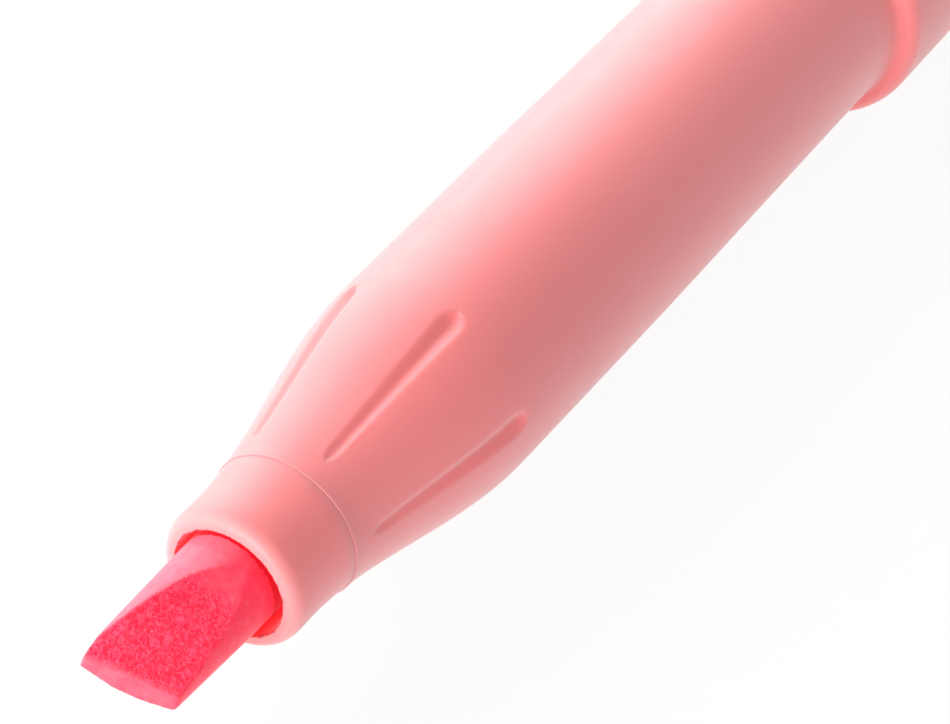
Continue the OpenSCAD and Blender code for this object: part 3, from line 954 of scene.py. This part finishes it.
def make_floor(shade, even):
    """White floor that shows a share of the pen's shadow and sends up a share of even light."""
    bpy.ops.object.select_all(action="DESELECT")
    bpy.ops.mesh.primitive_plane_add(size=FLOOR_SIZE)
    floor = bpy.context.object
    floor.name = "floor"
    material, tree, shader, place = start_finish("floor_white")
    shader.inputs["Roughness"].default_value = 0.9
    shader.inputs["Specular IOR Level"].default_value = 0.0
    paper = spread(tree, noise(tree, place, scale=3), 0.0, 1.0)
    colour = blend(tree, paper, (0.86, 0.86, 0.86), (0.84, 0.84, 0.84))
    tree.links.new(colour, shader.inputs["Base Color"])
    white = tree.nodes.new("ShaderNodeEmission")
    white.inputs["Strength"].default_value = 1.0
    mix = tree.nodes.new("ShaderNodeMixShader")
    lit = spread(tree, see_white(tree), even, 1.0 - shade, start=0, end=1)
    tree.links.new(lit, mix.inputs["Fac"])
    tree.links.new(shader.outputs["BSDF"], mix.inputs[1])
    tree.links.new(white.outputs["Emission"], mix.inputs[2])
    tree.links.new(mix.outputs["Shader"], tree.nodes["Material Output"].inputs["Surface"])
    floor.data.materials.append(material)


def soft_light(name, towards, size, power, shine=True):
    """Square lamp that faces the pen's front from a direction, with or without a highlight."""
    lamp = bpy.data.lights.new(name, "AREA")
    lamp.size = size
    lamp.energy = power
    light = bpy.data.objects.new(name, lamp)
    bpy.context.scene.collection.objects.link(light)
    direction = Vector(towards).normalized()
    aim = Vector((mouth_x + LAMP_AIM_S * MM, axis_y, axis_z))
    light.location = aim + direction * LAMP_DISTANCE
    light.rotation_mode = "QUATERNION"
    light.rotation_quaternion = direction.to_track_quat("Z", "Y")
    light.visible_camera = False
    light.visible_glossy = shine


def make_camera():
    """Camera at the photograph's angle, placed from the mouth of the nozzle."""
    photo_width = 950
    focal_pixels = 3400
    heading = math.radians(-58.346)
    height = math.radians(39.4235)
    away, aside, above = 149.535 * MM, 10.849 * MM, 9.766 * MM
    right = Vector((math.cos(heading), math.sin(heading), 0))
    back = Vector((math.sin(heading) * math.cos(height), -math.cos(heading) * math.cos(height),
                   math.sin(height)))
    up = back.cross(right)
    data = bpy.data.cameras.new("camera")
    data.sensor_width = 36
    data.lens = focal_pixels / photo_width * data.sensor_width
    data.clip_start = 0.01
    camera = bpy.data.objects.new("camera", data)
    bpy.context.scene.collection.objects.link(camera)
    mouth = Vector((mouth_x, axis_y, axis_z))
    place = Matrix.Translation(mouth + back * away + right * aside + up * above)
    camera.matrix_world = place @ Matrix((right, up, back)).transposed().to_4x4()
    bpy.context.scene.camera = camera


bpy.context.scene.view_settings.view_transform = "Standard"
make_camera()

# Paler colour of the painted highlight on the lip
lip_highlight_colour = (0.955, 0.35, 0.355)
barrel_plastic = satin_plastic(
    "barrel_plastic", (0.95, 0.25, 0.257), (0.94, 0.235, 0.242), lip_highlight_colour)
cap_plastic = satin_plastic(
    "cap_plastic", (0.95, 0.247, 0.254), (0.94, 0.232, 0.239), lip_highlight_colour)
make_barrel(barrel_plastic)
make_nozzle(barrel_plastic)
make_nib(nib_fibre())
make_tail_plug(barrel_plastic)
make_eraser(rubber())
make_cap(cap_plastic)
make_inner_cap(milky_plastic())
for node, finish in (("ink_reservoir", ink_fibre()), ("reservoir_film", clear_film())):
    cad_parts[node].data.materials.clear()
    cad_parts[node].data.materials.append(finish)

make_world(ambient=0.3)
make_floor(shade=0.07, even=0.75)
soft_light("key", (-0.45, 0.7, 0.53), size=0.6, power=6.8, shine=False)
soft_light("rim", (0.625, 0.63, 0.45), size=0.8, power=4.8)
soft_light("front", (-0.92, -0.05, 0.39), size=0.5, power=4.6)
